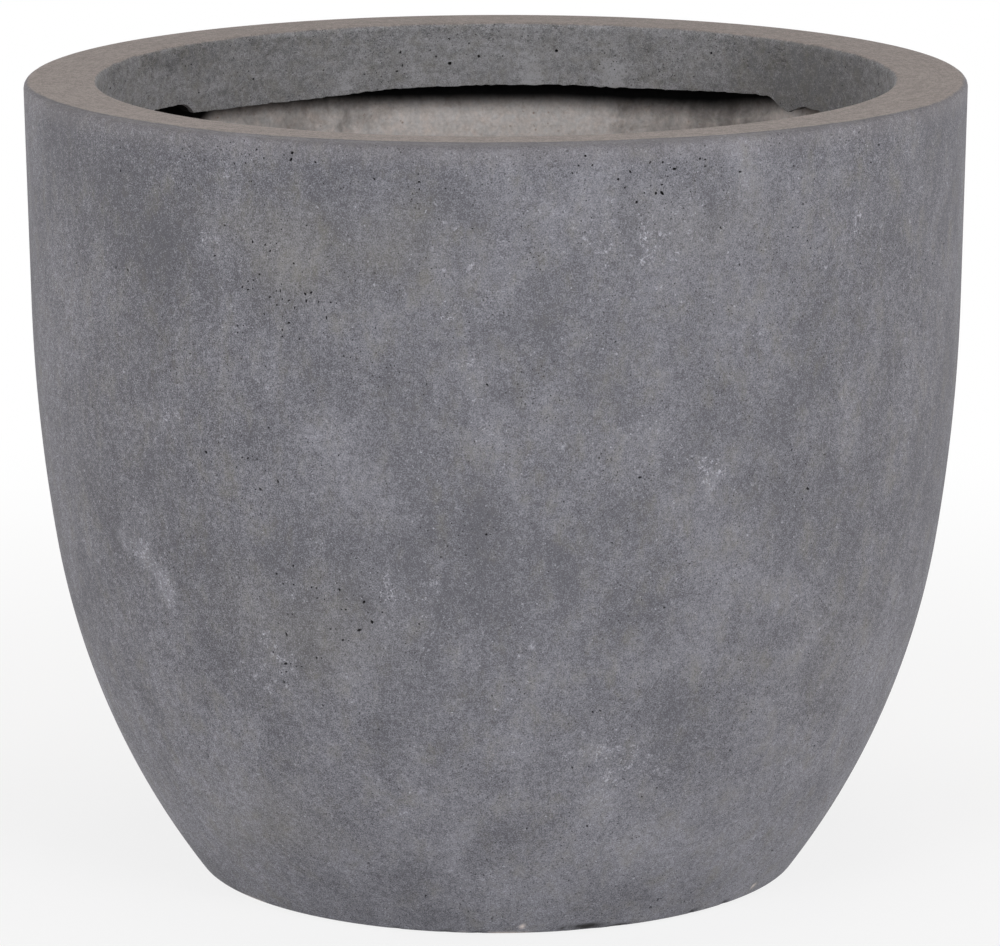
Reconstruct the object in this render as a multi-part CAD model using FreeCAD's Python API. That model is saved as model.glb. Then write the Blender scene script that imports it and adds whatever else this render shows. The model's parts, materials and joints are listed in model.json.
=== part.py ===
import FreeCAD
import Part
import math
import os

# Fibreclay floor planter, laid up by hand in a mould.
# A thin pigmented face coat runs up the outside of the wall, over the flat rim and down the drop inside the
# mouth. Clay bodies for the wall, the rim and the floor stand behind it, and glass cloth is pressed onto the
# back of each. A bead of slurry seals the inside corner, and a rubber plug closes the drain hole.
# Every piece but the plug is bonded to its neighbours face to face.
#
# Millimetres and degrees. The origin is the centre of the foot on the ground, and +Z runs up the pot's axis.

# Outside of the pot
HEIGHT = 366.0
RIM_DIAMETER = 430.0        # outside, across the top
BASE_DIAMETER = 278.0       # outside, where the wall comes down to the ground
WALL_TAPER = 1.0            # lean of the straight wall under the rim
STRAIGHT_WALL = 100.0       # how far the straight wall reaches below the top
BELLY_RADIUS = 800.0        # slow curve that the straight wall runs into
BELLY_TURN = 9.0            # lean of the wall where the lower curve takes over
BASE_ROUNDING = 3.0         # edge at the ground

# Rim, which turns in over the mouth and hangs down inside it
RIM_WIDTH = 33.4
RIM_DROP = 30.0
RIM_OUTER_ROUNDING = 4.5
RIM_INNER_ROUNDING = 3.0
UNDER_RIM_COVE = 5.0        # clay worked into the corners of the hollow under the rim

# Thickness of each layer, square to the surface
FACE_COAT = 2.5
WALL_BODY = 5.5
RIM_BODY = 4.0
FLOOR_BODY = 13.0
CLOTH = 1.0

# Underside and inside corner
FOOT_WIDTH = 22.0           # ring that the pot stands on
FOOT_RECESS = 3.0           # depth of the underside within that ring
FOOT_DRAFT = 3.0            # slope at the edge of the recess, across
CORNER_BEAD = 15.0          # legs of the bead, along the floor and up the wall
BEAD_HOLLOW = 2.0           # how far the bead's face dips below a straight chamfer

# Drain hole and its plug
DRAIN_DIAMETER = 25.0
PLUG_CLEARANCE = 0.3        # round the shank at the floor's upper face
PLUG_TAPER = 1.0            # how much the shank's radius shrinks towards its tip
PLUG_SETBACK = 1.0          # tip of the shank, above the floor's underside
PLUG_LIP = 6.5              # flange, past the edge of the hole
PLUG_FLANGE = 3.0
PLUG_FLANGE_ROUNDING = 1.2
PLUG_WALL = 3.5             # rubber round the hollow in the shank
PLUG_ROOF = 4.0             # rubber over that hollow
PLUG_NECK_DIAMETER = 9.0
PLUG_NECK = 4.0
PLUG_KNOB_DIAMETER = 13.0
PLUG_KNOB = 5.0
PLUG_KNOB_ROUNDING = 2.0

# Levels and radii that several pieces share
RIM_RADIUS = RIM_DIAMETER / 2
MOUTH_RADIUS = RIM_RADIUS - RIM_WIDTH
DRAIN_RADIUS = DRAIN_DIAMETER / 2
RIM_BACK = FACE_COAT + RIM_BODY
WALL_BACK = FACE_COAT + WALL_BODY
UNDER_RIM = HEIGHT - RIM_BACK
DROP_EDGE = HEIGHT - RIM_DROP
FLOOR_TOP = FLOOR_BODY + CLOTH


def at(radius, height):
    """A point of the half section, which lies in the XZ plane."""
    return FreeCAD.Vector(radius, 0, height)


def inward(lean):
    """Direction straight into a wall that leans in by this many radians towards the ground."""
    return at(-math.cos(lean), math.sin(lean))


def rounding(before, corner, after, radius):
    """Start, middle and end of the arc that rounds a corner between two straight lines."""
    side_in = (before - corner).normalize()
    side_out = (after - corner).normalize()
    half_angle = side_in.getAngle(side_out) / 2
    bisector = (side_in + side_out).normalize()
    reach = radius / math.tan(half_angle)
    middle = corner + bisector * (radius / math.sin(half_angle) - radius)
    return corner + side_in * reach, middle, corner + side_out * reach


class Section:
    """A closed half section, drawn edge by edge and turned about the pot's axis."""

    def __init__(self, start):
        self.start = start
        self.end = start
        self.edges = []

    def line(self, to):
        if (to - self.end).Length > 1e-6:
            self.edges.append(Part.LineSegment(self.end, to).toShape())
            self.end = to

    def arc(self, through, to):
        self.edges.append(Part.Arc(self.end, through, to).toShape())
        self.end = to

    def corner(self, corner, after, radius):
        """Run to a corner and round it, ready to go on to the next point."""
        if radius <= 0:
            self.line(corner)
            return
        start, middle, end = rounding(self.end, corner, after, radius)
        self.line(start)
        self.arc(middle, end)

    def up_wall(self, depth):
        """From the lower curve, at this depth behind the face, to the foot of the straight wall."""
        foot = lower_lean(self.end)
        self.arc(on_lower((foot + BELLY_LEAN) / 2, depth), on_lower(BELLY_LEAN, depth))
        self.arc(on_belly((BELLY_LEAN + TOP_LEAN) / 2, depth), on_belly(TOP_LEAN, depth))

    def down_wall(self, depth, foot):
        """From the straight wall, at this depth behind the face, down to a point on the lower curve."""
        self.line(on_belly(TOP_LEAN, depth))
        self.arc(on_belly((BELLY_LEAN + TOP_LEAN) / 2, depth), on_belly(BELLY_LEAN, depth))
        self.arc(on_lower((lower_lean(foot) + BELLY_LEAN) / 2, depth), foot)

    def along_lower(self, depth, to):
        """A short stretch of the lower curve at this depth behind the face."""
        self.arc(on_lower((lower_lean(self.end) + lower_lean(to)) / 2, depth), to)

    def turned(self):
        self.line(self.start)
        face = Part.Face(Part.Wire(self.edges))
        return face.revolve(FreeCAD.Vector(0, 0, 0), FreeCAD.Vector(0, 0, 1), 360)


# Outside line of the wall: straight and slightly tapered, then the belly curve, then a tighter lower curve that
# leaves the belly smoothly and reaches the ground at the base diameter.
TOP_LEAN = math.radians(WALL_TAPER)
BELLY_LEAN = math.radians(BELLY_TURN)
BELLY_START = at(RIM_RADIUS - STRAIGHT_WALL * math.tan(TOP_LEAN), HEIGHT - STRAIGHT_WALL)
BELLY_CENTRE = BELLY_START + inward(TOP_LEAN) * BELLY_RADIUS
BELLY_END = BELLY_CENTRE - inward(BELLY_LEAN) * BELLY_RADIUS
BELLY_TO_BASE = at(BASE_DIAMETER / 2, 0) - BELLY_END
LOWER_RADIUS = BELLY_TO_BASE.dot(BELLY_TO_BASE) / (2 * BELLY_TO_BASE.dot(inward(BELLY_LEAN)))
LOWER_CENTRE = BELLY_END + inward(BELLY_LEAN) * LOWER_RADIUS


def on_straight(height, depth):
    return at(RIM_RADIUS - (HEIGHT - height) * math.tan(TOP_LEAN) - depth / math.cos(TOP_LEAN), height)


def on_belly(lean, depth):
    return BELLY_CENTRE - inward(lean) * (BELLY_RADIUS - depth)


def on_lower(lean, depth):
    return LOWER_CENTRE - inward(lean) * (LOWER_RADIUS - depth)


def on_lower_at(height, depth):
    return on_lower(math.asin((LOWER_CENTRE.z - height) / (LOWER_RADIUS - depth)), depth)


def lower_lean(point):
    """Lean of the lower curve at a point on it."""
    return math.atan2(LOWER_CENTRE.z - point.z, point.x - LOWER_CENTRE.x)


# The edge at the ground touches the ground at FOOT_EDGE and the wall at HEM, where the face coat begins.
EDGE_RISE = LOWER_CENTRE.z - BASE_ROUNDING
EDGE_CENTRE = at(LOWER_CENTRE.x + math.sqrt((LOWER_RADIUS - BASE_ROUNDING) ** 2 - EDGE_RISE ** 2), BASE_ROUNDING)
HEM_LEAN = lower_lean(EDGE_CENTRE)
HEM = on_lower(HEM_LEAN, 0)
FOOT_EDGE = at(EDGE_CENTRE.x, 0)
EDGE_MIDDLE = EDGE_CENTRE - inward((HEM_LEAN + math.pi / 2) / 2) * BASE_ROUNDING


def rim_outer_corner(depth):
    return on_straight(HEIGHT - depth, depth)


def rim_inner_corner(depth):
    return at(MOUTH_RADIUS + depth, HEIGHT - depth)


def drop_end(depth):
    return at(MOUTH_RADIUS + depth, DROP_EDGE)


def wall_cove(depth, level):
    """Arc that takes the wall's back, at this depth, over into the roof of the hollow at this level."""
    corner = on_straight(level, depth)
    radius = UNDER_RIM_COVE - (depth - WALL_BACK)
    return rounding(corner + at(-1, 0), corner, on_belly(TOP_LEAN, depth), radius)


def face_coat():
    """Pigmented skin: outside of the wall, top of the rim and face of the drop."""
    skin = Section(HEM)
    skin.up_wall(0)
    skin.corner(rim_outer_corner(0), rim_inner_corner(0), RIM_OUTER_ROUNDING)
    skin.corner(rim_inner_corner(0), drop_end(0), RIM_INNER_ROUNDING)
    skin.line(drop_end(0))
    skin.line(drop_end(FACE_COAT))
    skin.corner(rim_inner_corner(FACE_COAT), rim_outer_corner(FACE_COAT), RIM_INNER_ROUNDING - FACE_COAT)
    skin.corner(rim_outer_corner(FACE_COAT), BELLY_START, RIM_OUTER_ROUNDING - FACE_COAT)
    skin.down_wall(FACE_COAT, on_lower(HEM_LEAN, FACE_COAT))
    return skin.turned()


def wall_body():
    """Clay behind the face coat, from the floor to the rim, spread at the top to carry the rim."""
    cove_roof, cove_middle, cove_wall = wall_cove(WALL_BACK, UNDER_RIM)
    wall = Section(on_lower_at(FLOOR_BODY, FACE_COAT))
    wall.up_wall(FACE_COAT)
    wall.line(on_straight(UNDER_RIM, FACE_COAT))
    wall.line(cove_roof)
    wall.arc(cove_middle, cove_wall)
    wall.down_wall(WALL_BACK, on_lower_at(FLOOR_BODY, WALL_BACK))
    return wall.turned()


def wall_cloth():
    """Glass cloth pressed onto the back of the wall, up into the cove under the rim."""
    body_roof, body_middle, body_wall = wall_cove(WALL_BACK, UNDER_RIM)
    cloth_roof, cloth_middle, cloth_wall = wall_cove(WALL_BACK + CLOTH, UNDER_RIM - CLOTH)
    cloth = Section(on_lower_at(FLOOR_TOP, WALL_BACK))
    cloth.up_wall(WALL_BACK)
    cloth.line(body_wall)
    cloth.arc(body_middle, body_roof)
    cloth.line(cloth_roof)
    cloth.arc(cloth_middle, cloth_wall)
    cloth.down_wall(WALL_BACK + CLOTH, on_lower_at(FLOOR_TOP, WALL_BACK + CLOTH))
    return cloth.turned()


def rim_body():
    """Clay behind the face coat of the rim and its drop. It lies on the spread top of the wall."""
    rim = Section(on_straight(UNDER_RIM, FACE_COAT))
    rim.corner(rim_outer_corner(FACE_COAT), rim_inner_corner(FACE_COAT), RIM_OUTER_ROUNDING - FACE_COAT)
    rim.corner(rim_inner_corner(FACE_COAT), drop_end(FACE_COAT), RIM_INNER_ROUNDING - FACE_COAT)
    rim.line(drop_end(FACE_COAT))
    rim.line(drop_end(RIM_BACK))
    rim.corner(rim_inner_corner(RIM_BACK), rim.start, UNDER_RIM_COVE)
    return rim.turned()


def rim_cloth():
    """Glass cloth in the hollow under the rim, from the wall's cloth to the edge of the drop."""
    cloth_back = RIM_BACK + CLOTH
    body_roof = wall_cove(WALL_BACK, UNDER_RIM)[0]
    cloth_roof = wall_cove(WALL_BACK + CLOTH, UNDER_RIM - CLOTH)[0]
    cloth = Section(drop_end(RIM_BACK))
    cloth.corner(rim_inner_corner(RIM_BACK), body_roof, UNDER_RIM_COVE)
    cloth.line(body_roof)
    cloth.line(cloth_roof)
    cloth.corner(rim_inner_corner(cloth_back), drop_end(cloth_back), UNDER_RIM_COVE - CLOTH)
    cloth.line(drop_end(cloth_back))
    return cloth.turned()


def floor_body():
    """Clay floor with the drain hole. Its rounded edge and foot ring stand on the ground."""
    foot_inside = FOOT_EDGE.x - FOOT_WIDTH
    floor = Section(at(DRAIN_RADIUS, FOOT_RECESS))
    floor.line(at(foot_inside - FOOT_DRAFT, FOOT_RECESS))
    floor.line(at(foot_inside, 0))
    floor.line(FOOT_EDGE)
    floor.arc(EDGE_MIDDLE, HEM)
    floor.line(on_lower(HEM_LEAN, FACE_COAT))
    floor.along_lower(FACE_COAT, on_lower_at(FLOOR_BODY, FACE_COAT))
    floor.line(at(DRAIN_RADIUS, FLOOR_BODY))
    return floor.turned()


def floor_cloth():
    """Disc of glass cloth pressed onto the floor, with the drain hole cut through it."""
    cloth = Section(at(DRAIN_RADIUS, FLOOR_BODY))
    cloth.line(on_lower_at(FLOOR_BODY, WALL_BACK))
    cloth.along_lower(WALL_BACK, on_lower_at(FLOOR_TOP, WALL_BACK))
    cloth.line(at(DRAIN_RADIUS, FLOOR_TOP))
    return cloth.turned()


def corner_bead():
    """Bead of slurry that covers the edges of the cloth in the inside corner."""
    lining = WALL_BACK + CLOTH
    corner = on_lower_at(FLOOR_TOP, lining)
    floor_leg = corner + at(-CORNER_BEAD, 0)
    wall_leg = on_lower_at(FLOOR_TOP + CORNER_BEAD, lining)
    chamfer_middle = (floor_leg + wall_leg) * 0.5
    bead = Section(corner)
    bead.line(floor_leg)
    bead.arc(chamfer_middle + (corner - chamfer_middle).normalize() * BEAD_HOLLOW, wall_leg)
    bead.along_lower(lining, corner)
    return bead.turned()


def drain_plug():
    """Rubber plug pushed in from inside: hollow tapered shank, flange and a knob to pull."""
    shank_radius = DRAIN_RADIUS - PLUG_CLEARANCE
    tip_radius = shank_radius - PLUG_TAPER
    tip = FOOT_RECESS + PLUG_SETBACK
    flange_radius = DRAIN_RADIUS + PLUG_LIP
    flange_top = FLOOR_TOP + PLUG_FLANGE
    hollow_radius = tip_radius - PLUG_WALL
    hollow_top = flange_top - PLUG_ROOF
    neck_radius = PLUG_NECK_DIAMETER / 2
    neck_top = flange_top + PLUG_NECK
    knob_radius = PLUG_KNOB_DIAMETER / 2
    knob_top = neck_top + PLUG_KNOB
    plug = Section(at(0, hollow_top))
    plug.line(at(hollow_radius, hollow_top))
    plug.line(at(hollow_radius, tip))
    plug.line(at(tip_radius, tip))
    plug.line(at(shank_radius, FLOOR_TOP))
    plug.line(at(flange_radius, FLOOR_TOP))
    plug.corner(at(flange_radius, flange_top), at(neck_radius, flange_top), PLUG_FLANGE_ROUNDING)
    plug.line(at(neck_radius, flange_top))
    plug.line(at(neck_radius, neck_top))
    plug.line(at(knob_radius, neck_top))
    plug.corner(at(knob_radius, knob_top), at(0, knob_top), PLUG_KNOB_ROUNDING)
    plug.line(at(0, knob_top))
    return plug.turned()


PIECES = (face_coat, wall_body, wall_cloth, rim_body, rim_cloth, floor_body, floor_cloth, corner_bead, drain_plug)

os.makedirs("parts", exist_ok=True)
for piece in PIECES:
    solid = Part.Solid(piece())
    solid.exportStep(f"parts/{piece.__name__}.step")
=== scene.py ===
import cmath
import itertools
import json
import math
import random

import bpy
import numpy as np
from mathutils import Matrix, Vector, noise


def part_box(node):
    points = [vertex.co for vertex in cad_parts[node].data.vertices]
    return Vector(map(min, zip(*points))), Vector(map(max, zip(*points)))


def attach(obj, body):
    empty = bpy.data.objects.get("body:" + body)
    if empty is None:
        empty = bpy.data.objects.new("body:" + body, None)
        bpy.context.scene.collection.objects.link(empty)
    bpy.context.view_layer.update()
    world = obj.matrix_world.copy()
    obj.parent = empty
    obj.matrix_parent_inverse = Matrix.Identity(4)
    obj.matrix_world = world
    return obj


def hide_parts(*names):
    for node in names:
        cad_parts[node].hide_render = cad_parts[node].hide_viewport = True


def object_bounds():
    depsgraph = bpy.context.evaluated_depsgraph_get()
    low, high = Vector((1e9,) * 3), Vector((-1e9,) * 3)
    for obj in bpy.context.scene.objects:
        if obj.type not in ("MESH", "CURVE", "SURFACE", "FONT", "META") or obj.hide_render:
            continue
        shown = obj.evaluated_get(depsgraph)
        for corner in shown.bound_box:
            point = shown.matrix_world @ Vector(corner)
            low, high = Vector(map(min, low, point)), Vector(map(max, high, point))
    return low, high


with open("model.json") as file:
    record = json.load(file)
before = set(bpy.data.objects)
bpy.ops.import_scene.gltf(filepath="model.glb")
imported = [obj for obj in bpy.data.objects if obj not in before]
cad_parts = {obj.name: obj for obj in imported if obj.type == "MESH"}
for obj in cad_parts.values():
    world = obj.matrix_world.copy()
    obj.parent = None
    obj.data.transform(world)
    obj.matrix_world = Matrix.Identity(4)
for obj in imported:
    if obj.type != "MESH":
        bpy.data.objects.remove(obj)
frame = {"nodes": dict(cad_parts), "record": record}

bl_info = {
    "name": "Fibreclay Planter",
    "version": (1, 0, 0),
    "blender": (4, 5, 0),
    "location": "3D View > Sidebar > Planter",
    "description": "Dresses the solids of a hand-laid fibreclay planter and sets up its studio",
    "category": "Object",
}

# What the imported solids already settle, in metres
CAD_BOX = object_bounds()
RIM_RADIUS = CAD_BOX[1].x
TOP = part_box("face_coat")[1].z
DROP_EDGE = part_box("rim_body")[0].z
FLOOR_LEVEL, FLOOR_TOP = (corner.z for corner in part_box("floor_cloth"))
BEAD_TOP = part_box("corner_bead")[1].z
MOUTH_RADIUS = next(m["dims"]["r_mm"] for m in frame["record"]["mounts"] if m["name"] == "mouth") / 1000

MM = 0.001
WELD = 0.00001
SEAT_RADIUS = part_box("drain_plug")[1].x + 6 * MM

# Edges that turn by more than this stay sharp when a piece is shaded smooth
SHARP_EDGE = math.radians(38)

# Radius in mm at which the widths of marks on the wall are taken
WALL_MM = 200

# The drop follows its trimmed edge below this height, and its layers lie within this radius
TRIM_START = TOP - 12 * MM
DROP_BACK = MOUTH_RADIUS + 9 * MM

# Lower edge of the drop, which was trimmed by hand: degrees from the back towards the right, and depth in mm
DROP_TRIM = (
    (-180, 31.0), (-140, 32.0), (-105, 30.6), (-80, 31.4), (-68, 29.6), (-62, 28.0), (-55, 28.4), (-53.5, 30.0),
    (-52.7, 33.3), (-44, 34.0), (-38, 34.1), (-32, 34.0), (-26, 33.1), (-21, 32.2), (-17, 31.6), (-11, 30.9),
    (0, 30.5), (12, 29.9), (18, 30.4), (27, 30.0), (33, 29.4), (40, 28.4), (46.3, 28.1), (47.6, 30.6), (49.2, 34.0),
    (50.4, 34.3), (51.2, 33.4), (52.6, 31.4), (54.5, 30.5), (58, 31.5), (66, 33.0), (80, 31.0), (105, 30.2),
    (140, 31.8), (180, 31.0),
)

# Groups of pinholes: degrees from the front towards the right, height, spread and size in mm, and how many
PINHOLE_GROUPS = (
    (-23.5, 358, 5, 1.1, 3), (-29, 357, 14, 0.6, 4), (-27.3, 321, 4, 0.8, 4), (-29.6, 304, 5, 0.8, 6),
    (-26, 299, 9, 0.6, 4), (-22, 298, 8, 0.7, 5), (-19.5, 298, 7, 0.6, 2), (-31.3, 282, 3, 0.8, 2),
    (-23.6, 283, 5, 0.6, 3), (-18, 271, 5, 0.6, 2), (-25, 330, 16, 0.5, 6), (-36, 318, 9, 0.6, 3),
    (-28, 240, 28, 0.5, 8), (-21, 165, 22, 0.6, 7), (10, 356, 9, 0.7, 4), (19, 354, 13, 0.8, 6),
    (18, 345, 4, 0.9, 2), (23.5, 357, 6, 0.7, 2), (36.4, 340, 8, 0.7, 3), (47, 352, 14, 0.5, 5),
    (36, 322, 22, 0.6, 6), (-3, 352, 18, 0.5, 5), (13, 115, 2, 0.8, 1), (16, 52, 30, 0.6, 9),
    (28.4, 10, 2, 1.0, 1), (36, 10, 12, 0.6, 5), (-6, 12, 16, 0.6, 6), (40, 205, 4, 0.8, 1),
    (-48, 350, 12, 0.5, 5), (-30, 222, 15, 0.75, 6), (-26, 178, 12, 0.75, 4), (-17, 165, 12, 0.95, 4),
    (-26, 128, 15, 0.75, 5), (66, 296, 10, 0.7, 3), (62, 266, 4, 0.8, 1),
)

# Turns in degrees at which the groups are laid: twice in front, and once on each of two sides that are not seen
GROUP_TURNS = (0, 0, 128, -117)

# Other pinholes go on the drop, close under the rim, and three times as often anywhere on the wall: heights in
# metres, how much larger they are, and whether they are on the drop
PINHOLE_BANDS = (((0.342, 0.359), 1.5, True), ((0.346, 0.36), 1, False)) + (((0.008, 0.345), 1, False),) * 3

# Least area in square metres of a face that can take a pinhole, on the wall and on the drop
WALL_FACE, DROP_FACE = 7e-6, 5e-6

# Room left round a pinhole in its face, the cut at the corners of its mouth, its lip and its greatest depth
HOLE_ROOM, HOLE_CUT, HOLE_LIP, HOLE_DEPTH = 0.5 * MM, 0.3 * MM, 0.1 * MM, 1.8 * MM

# Lighter and darker clouds in the face coat: degrees, height, half width and half height in mm, strength
# Most clouds are the coat's own mottle. Those from 64 to 72 degrees to either side, near the edges seen from the
# front, are painted light and painted shade that lift or lower the wall there.
CLOUDS = (
    (-47, 304, 26, 50, -1.0), (-37, 178, 34, 24, -0.6), (-30, 108, 40, 30, -0.5), (-11, 312, 38, 32, -0.6),
    (8, 212, 40, 52, -0.5), (38, 250, 20, 62, -0.7), (17, 135, 30, 22, -0.3), (-4, 40, 50, 22, -0.2),
    (10, 347, 60, 16, 1.1), (28, 320, 24, 26, 0.7), (-17, 222, 26, 28, 1.0), (-14, 142, 36, 30, 0.6),
    (25, 168, 28, 34, 0.5), (-64, 262, 30, 60, 0.7), (64, 118, 34, 56, 1.2), (-2, 264, 12, 24, 0.5),
    (22, 250, 30, 30, 0.3), (-40, 60, 24, 20, 0.3), (38, 56, 36, 36, 0.4), (-72, 200, 22, 120, 0.4),
    (72, 280, 22, 60, -0.55), (-47, 172, 11, 26, 0.7), (9, 104, 26, 24, -0.7), (3, 68, 26, 18, -0.7),
    (23.5, 340, 16, 20, 0.8),
)

# Lime bloom, in pale speckled patches and streaks: degrees, height, half width and half height in mm, strength
BLOOM = (
    (25.3, 214, 8, 11, 0.75), (-1.8, 263, 7, 17, 0.5), (-51, 190, 6, 11, 0.9), (-48.5, 177, 7, 11, 0.9),
    (-46.5, 167, 7, 9, 0.6), (-44.5, 157, 7, 12, 1.1), (24.5, 344, 11, 14, 0.5), (24, 232, 20, 16, 0.5),
    (-38, 318, 26, 12, 0.4), (12, 322, 40, 20, 0.5), (-32, 292, 12, 16, 0.4), (-40, 236, 14, 20, 0.5),
    (-14, 176, 20, 18, 0.4), (-30, 146, 12, 26, 0.5), (4, 112, 30, 26, 0.3), (16, 86, 26, 18, 0.35),
    (47, 330, 18, 26, 0.4), (-10, 66, 26, 20, 0.3),
)

# Olive stains in the coat: degrees, height, half width and half height in mm, strength
OLIVE = (
    (-24, 315, 24, 16, 0.7), (-11, 322, 18, 14, 0.6), (-25, 150, 34, 22, 0.6), (-32, 330, 20, 12, 0.4),
    (-36, 60, 26, 18, 0.6), (-44, 40, 20, 16, 0.5), (24, 330, 26, 14, 0.4), (50, 120, 22, 30, 0.3),
)

# Slurry smeared over the drop inside the mouth, with painted shade and light among it: degrees, height, half width
# and half height in mm, strength
# The dark patch at 124 degrees and the dark line under the rim's inner edge at -122 degrees are painted shade, and
# the pale patch across the back at 178 degrees is painted light.
DROP_SMEARS_AND_SHADE = (
    (174.5, 342, 7, 7, 0.8), (162, 342, 11, 8, 0.8), (154, 343, 6, 7, 0.6), (178, 352, 60, 30, 0.5),
    (-155, 341, 6, 5, 0.7), (-166, 345, 12, 7, 0.4), (124, 350, 70, 50, -1.1), (146, 350, 26, 30, 0.32),
    (-138, 350, 40, 30, -0.2), (-122, 362, 70, 5, -1.2), (70, 350, 60, 30, 0.4), (-60, 348, 70, 30, 0.4),
    (0, 350, 80, 30, 0.3),
)

# Damp and iron on the raw inside: degrees, height, half width and half height in mm, strength
DAMP = (
    (150, 306, 34, 60, 0.7), (163, 312, 12, 40, 0.3), (-162, 306, 20, 50, 0.42), (-148, 300, 36, 50, 0.55),
    (178, 300, 60, 16, -0.6), (125, 250, 50, 70, 0.6), (-110, 220, 60, 80, 0.5), (60, 240, 60, 60, 0.5),
    (0, 180, 80, 60, 0.5), (-60, 120, 60, 50, 0.6), (170, 120, 80, 50, 0.4),
)

# Further patches are spread between these directions in degrees and these heights in mm
UNSEEN_SIDES, UNSEEN_HEIGHTS = (75, 285), (30, 350)

# Patches that lie on each other add up to this at most
STRONGEST = 1.2

# How far the outlines of patches wander, and the size of their bays, in metres
WANDER, BAYS = 0.016, 0.03

# Edges of the cloth strips on the wall, in degrees from the front towards the right, how much thicker the cloth is
# there, and over how many degrees that fades
LAPS = (-167, -131, -96, -58, -21, 15, 52, 88, 124, 160.4)
LAP_RISE, LAP_FADE = 0.8 * MM, 30

# Knocks on the edge at the ground: degrees, height, half width, half height and depth in mm, and how dark the shadow
# painted in each knock is
CHIPS = (
    (16.6, 1.9, 8.5, 1.9, 1.4, 1.0), (22.5, 0.8, 6.0, 0.9, 0.8, 0.9), (11.8, 1.6, 1.8, 1.0, 0.8, 0.8),
    (4.5, 4.0, 1.5, 1.2, 0.5, 0.0), (39, 1.4, 1.9, 1.2, 0.9, 0.95), (47.5, 1.2, 1.9, 1.3, 0.9, 0.95),
    (-9.4, 1.0, 3.0, 1.0, 0.8, 0.6), (-3.4, 0.8, 2.4, 1.0, 0.7, 0.5), (-19, 0.7, 2.0, 0.9, 0.7, 0.6),
    (55, 5.5, 1.2, 1.3, 0.4, 0.0), (96, 1.0, 4.0, 1.4, 1.2, 0.5), (-128, 1.2, 6.0, 1.6, 1.3, 0.5),
    (170, 0.8, 3.0, 1.0, 0.8, 0.4),
)

# The edge at the ground: height in mm, least radius and middle radius in metres, and the radius in mm at which the
# widths of knocks are taken
EDGE_TOP, EDGE_INSIDE, EDGE_RADIUS, EDGE_MM = 12, 0.133, 0.138, 140

# The stretch of that edge that is rubbed bare: its middle and half width in degrees
BARE_MIDDLE, BARE_HALF = 12, 14

# Colours of the light, and the lamps: name, place and size in metres, power in watts, colour
COOL, MILD, WARM = (0.98, 0.985, 1.0), (1.0, 0.97, 0.95), (1.0, 0.955, 0.91)
LAMPS = (
    ("front_right", (1.35, -1.9, 1.0), 1.0, 26, COOL),
    ("front_left", (-1.25, -1.95, 0.95), 1.0, 20, COOL),
    ("top", (0.1, 0.1, 2.3), 1.3, 15, WARM),
    ("right", (2.1, 0.4, 0.35), 1.1, 20, MILD),
    ("left", (-2.1, 0.5, 0.6), 1.1, 19, MILD),
    ("reflector", (0, -0.6, 0.03), 0.7, 1.2, COOL),
)


def length(name, description, default):
    """A size in metres, as a property."""
    return bpy.props.FloatProperty(
        name=name, description=description, default=default, min=0, precision=4, unit="LENGTH")


def angle(name, description, default):
    """An angle in radians, given here in degrees, as a property."""
    return bpy.props.FloatProperty(
        name=name, description=description, default=math.radians(default), subtype="ANGLE")


def colour(name, description, default):
    """A linear colour, as a property."""
    return bpy.props.FloatVectorProperty(
        name=name, description=description, default=default, min=0, max=1, size=3, subtype="COLOR")


class PlanterSizes(bpy.types.PropertyGroup):
    """Sizes of the pot's half section"""

    base_diameter: length("Base", "Outside, where the wall comes down to the ground", 0.278)
    wall_taper: angle("Taper", "Lean of the straight wall under the rim", 1)
    straight_wall: length("Straight wall", "How far the straight wall reaches below the top", 0.1)
    belly_radius: length("Belly", "Slow curve that the straight wall runs into", 0.8)
    belly_turn: angle("Belly turn", "Lean of the wall where the lower curve takes over", 9)
    base_rounding: length("Base edge", "Rounding of the edge at the ground", 0.003)
    rim_width: length("Rim", "Width of the flat top", 0.03333)
    rim_outer_rounding: length("Rim, outer edge", "Rounding of the rim's outer edge", 0.003)
    rim_inner_rounding: length("Rim, inner edge", "Rounding of the rim's inner edge", 0.0027)
    under_rim_cove: length("Cove", "Clay worked into the corners of the hollow under the rim", 0.005)
    face_coat: length("Face coat", "Thickness of the pigmented skin", 0.0025)
    wall_body: length("Wall", "Thickness of the clay behind the skin", 0.0055)
    rim_body: length("Rim body", "Thickness of the clay behind the rim's skin", 0.004)
    cloth: length("Cloth", "Thickness of the slurried glass cloth", FLOOR_TOP - FLOOR_LEVEL)
    foot_width: length("Foot", "Ring that the pot stands on", 0.022)
    foot_recess: length("Recess", "Depth of the underside within the foot", 0.003)
    foot_draft: length("Recess slope", "Slope at the edge of the recess, across", 0.003)
    bead_hollow: length("Bead hollow", "How far the bead's face dips below a straight chamfer", 0.002)
    drain_diameter: length("Drain", "Diameter of the drain hole", 0.025)


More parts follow.
